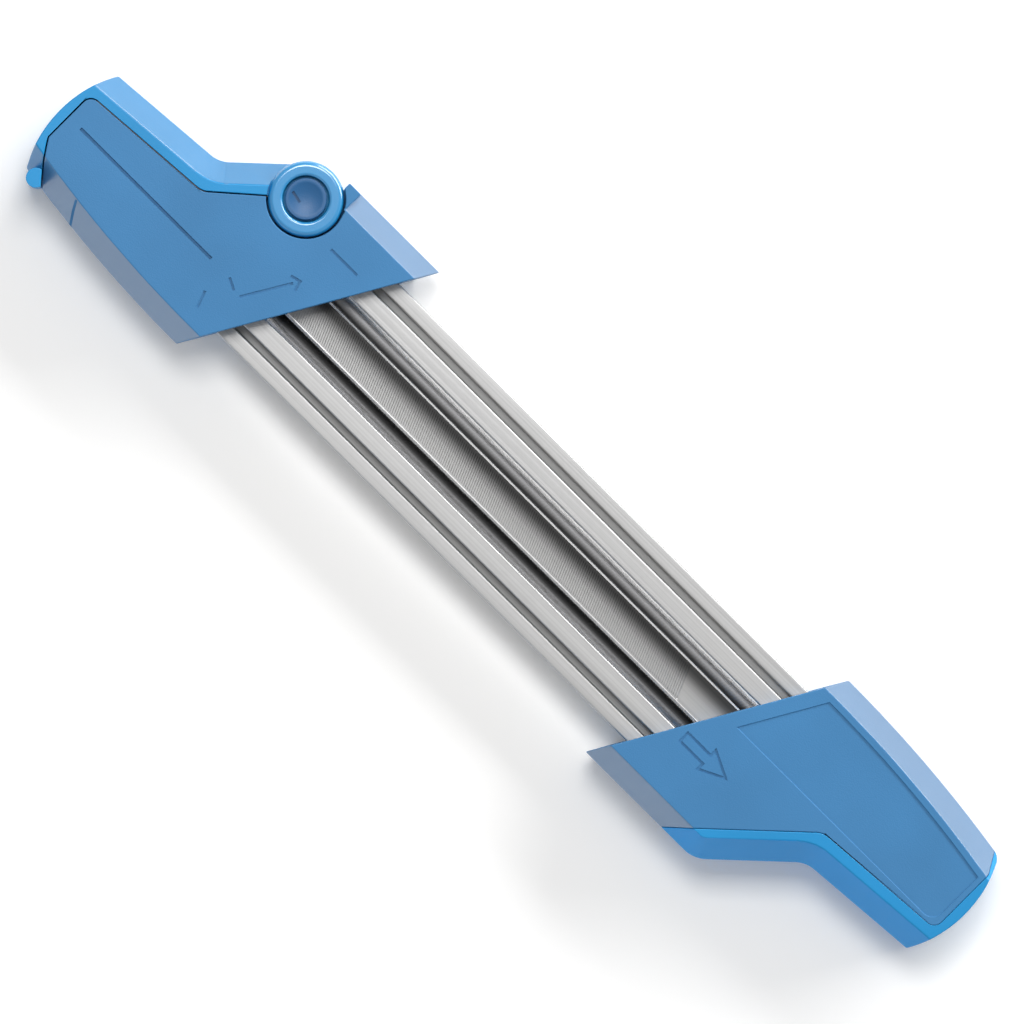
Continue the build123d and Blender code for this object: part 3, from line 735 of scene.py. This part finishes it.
def flat_file():
    """Rows run across the file and slant with the teeth. Height falls and rises as a saw over
    one tooth, fades out past the cut's end, and is level on the rounded edges."""
    count = int((CUT_END - CUT_START) / TOOTH)
    cut = CUT_START + (np.arange(count)[:, None] + np.array(TOOTH_STEPS)) * TOOTH
    along = np.concatenate([[FLAT_START], cut.ravel(), [CUT_END, FLAT_END]])
    drop = np.concatenate([[0], np.tile([0.0, 0.0, 1.0], count), [0, 0]])
    half = FLAT_HALF - np.array([0, EDGE_ROUND, FLAT_EDGE, CUT_FADE])
    across = np.concatenate([-half, [0], half[::-1]])
    edge = np.array([-EDGE_ROUND, 0, 0, 0, 0, 0, 0, 0, -EDGE_ROUND])
    bite = np.array([0, 0, 0, 1, 1, 1, 0, 0, 0])
    slant = np.where((along >= CUT_START) & (along <= CUT_END), 1.0, 0.0)
    x = along[:, None] - CUT_SLANT * slant[:, None] * across
    y = np.broadcast_to(across, x.shape)
    top = FLAT_TOP + edge - TOOTH_DEPTH * drop[:, None] * bite
    low = FLAT_LOW - edge + TOOTH_DEPTH * drop[:, None] * bite
    upper = np.stack([x, y, top], 2)
    lower = np.stack([x, y, low], 2)
    rows, columns = x.shape
    verts = np.concatenate([upper.reshape(-1, 3), lower.reshape(-1, 3)])
    index = np.arange(rows * columns).reshape(rows, columns)
    a, b, c, d = index[:-1, :-1], index[1:, :-1], index[1:, 1:], index[:-1, 1:]
    upper_faces = np.stack([a, b, c, d], 2).reshape(-1, 4)
    under = rows * columns
    lower_faces = np.stack([a, d, c, b], 2).reshape(-1, 4) + under
    sides = []
    for column, flip in ((0, 1), (columns - 1, -1)):
        p, q = index[:-1, column], index[1:, column]
        sides.append(np.stack([p, p + under, q + under, q], 1)[:, ::flip])
    ends = []
    for row, flip in ((0, -1), (rows - 1, 1)):
        p, q = index[row, :-1], index[row, 1:]
        ends.append(np.stack([p, p + under, q + under, q], 1)[:, ::flip])
    faces = np.concatenate([upper_faces, lower_faces, *sides, *ends])
    piece = surface("flat_file_finished", verts * MM, faces.tolist(), flat_shaded_paint, smooth=False)
    piece.data.materials.append(edge_highlight_paint)
    middles = verts[faces].mean(axis=1)
    # Faces on the front edge take the near-white steel, a painted highlight.
    on_highlight_edge = (middles[:, 1] < FLAT_EDGE - FLAT_HALF).astype(int)
    piece.data.polygons.foreach_set("material_index", on_highlight_edge)
    return piece


piece = facing_out(flat_file())
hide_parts("flat_file")
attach(piece, "frame")

# Round files.
# Two 4.8 mm files whose teeth run round them in a steep spiral.
ROUND_RADIUS, ROUND_Z, ROUND_Y = 2.4, 9.56, 8.5
ROUND_PITCH, ROUND_DEPTH, ROUND_TURN = 1.0, 0.12, 6
ROUND_COLUMNS = 30
ROUND_STEEL = (0.60, 0.60, 0.61, 1)
# Each file is painted darker on the side next to the flat file, painted shade; the front one nearly
# black there.
REAR_PAINTED_SHADE = [(6.1, 0.55), (7.5, 0.6), (8.4, 0.6), (9.2, 0.95), (10.0, 1.0)]
FRONT_PAINTED_SHADE = [(-10.9, 1.0), (-9.8, 1.0), (-9.2, 0.7), (-8.6, 0.18), (-8.0, 0.07), (-6.1, 0.05)]


def round_file(name, y_place, material):
    """A tube along X whose radius is a saw of x / pitch plus a few turns round, so that its
    ridges wind round it. Its ends close on the axis."""
    along = np.append(np.arange(FLAT_START, FLAT_END, ROUND_PITCH / 4), FLAT_END)
    angle = np.arange(ROUND_COLUMNS) * 2 * math.pi / ROUND_COLUMNS
    phase = along[:, None] / ROUND_PITCH + ROUND_TURN * angle / (2 * math.pi)
    radius = ROUND_RADIUS - ROUND_DEPTH * (phase - np.floor(phase))
    x = np.broadcast_to(along[:, None], radius.shape)
    y = y_place + radius * np.cos(angle)
    z = ROUND_Z + radius * np.sin(angle)
    poles = np.array([(FLAT_START, y_place, ROUND_Z), (FLAT_END, y_place, ROUND_Z)])
    return capped(name, x, y, z, poles, material)


rear_shaded_paint = painted_shade_across(drawn_steel("rear_file_steel_painted_shade", ROUND_STEEL, 0.6, 900), REAR_PAINTED_SHADE)
front_shaded_paint = painted_shade_across(drawn_steel("front_file_steel_painted_shade", ROUND_STEEL, 0.6, 900), FRONT_PAINTED_SHADE)
for side, node, body, steel in (
    (1, "rear_round_file", "rear_file", rear_shaded_paint),
    (-1, "front_round_file", "front_file", front_shaded_paint),
):
    piece = round_file(node + "_finished", side * ROUND_Y, steel)
    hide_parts(node)
    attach(piece, body)

# File holders inside the handles, and the rubber pad on the lever's paddle.
# Black moulded blocks keep the three files side by side, and the soft pad presses on their
# ends.
HOLDER_BLACK = (0.030, 0.032, 0.035, 1)
RUBBER_BLACK = (0.022, 0.022, 0.024, 1)
HOLDER_EASE, PAD_EASE = 0.25 * MM, 0.5 * MM

holder_paint, tree, shader = paint("holder_black_nylon")
place = grain(tree, shader, 2200, 0.3, (0.45, 0.6))
mottle(tree, shader, place, HOLDER_BLACK, 80, 0.15)
for node in ("left_file_holder", "right_file_seat"):
    piece = eased(plain_copy(node, holder_paint), HOLDER_EASE)
    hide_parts(node)
    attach(piece, "frame")

rubber_paint, tree, shader = paint("pad_black_rubber")
place = grain(tree, shader, 3000, 0.4, (0.7, 0.85))
mottle(tree, shader, place, RUBBER_BLACK, 90, 0.2)
piece = eased(plain_copy("lever_pressure_pad", rubber_paint), PAD_EASE)
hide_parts("lever_pressure_pad")
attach(piece, "lever")

# Screws.
# Plated steel screws with countersunk heads and a cross recess go up from the underside,
# and a coarse thread for plastic runs along each shank.
SCREW_STEEL = (0.46, 0.46, 0.47, 1)
SCREW_LOW, SCREW_RIM, SCREW_NECK, SCREW_TIP = 0.3, 0.45, 1.6, 21.5
SCREW_HEAD, SCREW_END = 2.65, 0.9
THREAD_START, THREAD_STOP, THREAD_COLUMNS = 1.9, 21.3, 24
SCREW_CROSS_REACH, SCREW_CROSS_DEPTH = 1.7, 0.8
SCREW_SETS = {
    "left_rail_screws": [(-86.231, 14.3), (-106.9, -14.3)],
    "right_rail_screws": [(86.231, -14.3), (106.9, 14.3)],
    "left_shell_screw": [(-166.0, -20.0)],
    "right_shell_screw": [(166.0, 20.0)],
}
THREAD_PITCH, THREAD_DEPTH = 1.4, 0.22

screw_paint = drawn_steel("plated_steel", SCREW_STEEL, 0.3, 700)


def screw_shape(name, centre):
    """A head and shank turned round an upright axis. Below the neck the radius follows the
    head's cone, and above it the radius dips as a wave of height / pitch minus the turn."""
    shank = np.arange(THREAD_START, THREAD_STOP, THREAD_PITCH / 6)
    height = np.concatenate([[SCREW_LOW, SCREW_RIM, SCREW_NECK], shank, [SCREW_TIP]])
    body = np.full(len(shank) + 1, SCREW_RADIUS)
    radius = np.concatenate([[SCREW_HEAD, SCREW_HEAD], body, [SCREW_END]])
    angle = np.arange(THREAD_COLUMNS) * 2 * math.pi / THREAD_COLUMNS
    wave = height[:, None] / THREAD_PITCH - angle / (2 * math.pi)
    dip = THREAD_DEPTH * (0.5 + 0.5 * np.cos(2 * math.pi * wave))
    dip *= ((height > SCREW_NECK) & (height < SCREW_TIP))[:, None]
    reach = radius[:, None] - dip
    x = centre[0] + reach * np.cos(angle)
    y = centre[1] + reach * np.sin(angle)
    poles = np.array([(*centre, SCREW_LOW), (*centre, SCREW_TIP)])
    return capped(name, x, y, np.broadcast_to(height[:, None], x.shape), poles, screw_paint)


for node, places in SCREW_SETS.items():
    for number, spot in enumerate(places, 1):
        piece = screw_shape(f"{node}_{number}_finished", np.array(spot))
        drive = cross(np.array(spot), SCREW_CROSS_REACH, SCREW_LOW, SCREW_CROSS_DEPTH)
        piece = carved(piece, drive)
        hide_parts(node)
        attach(piece, "frame")
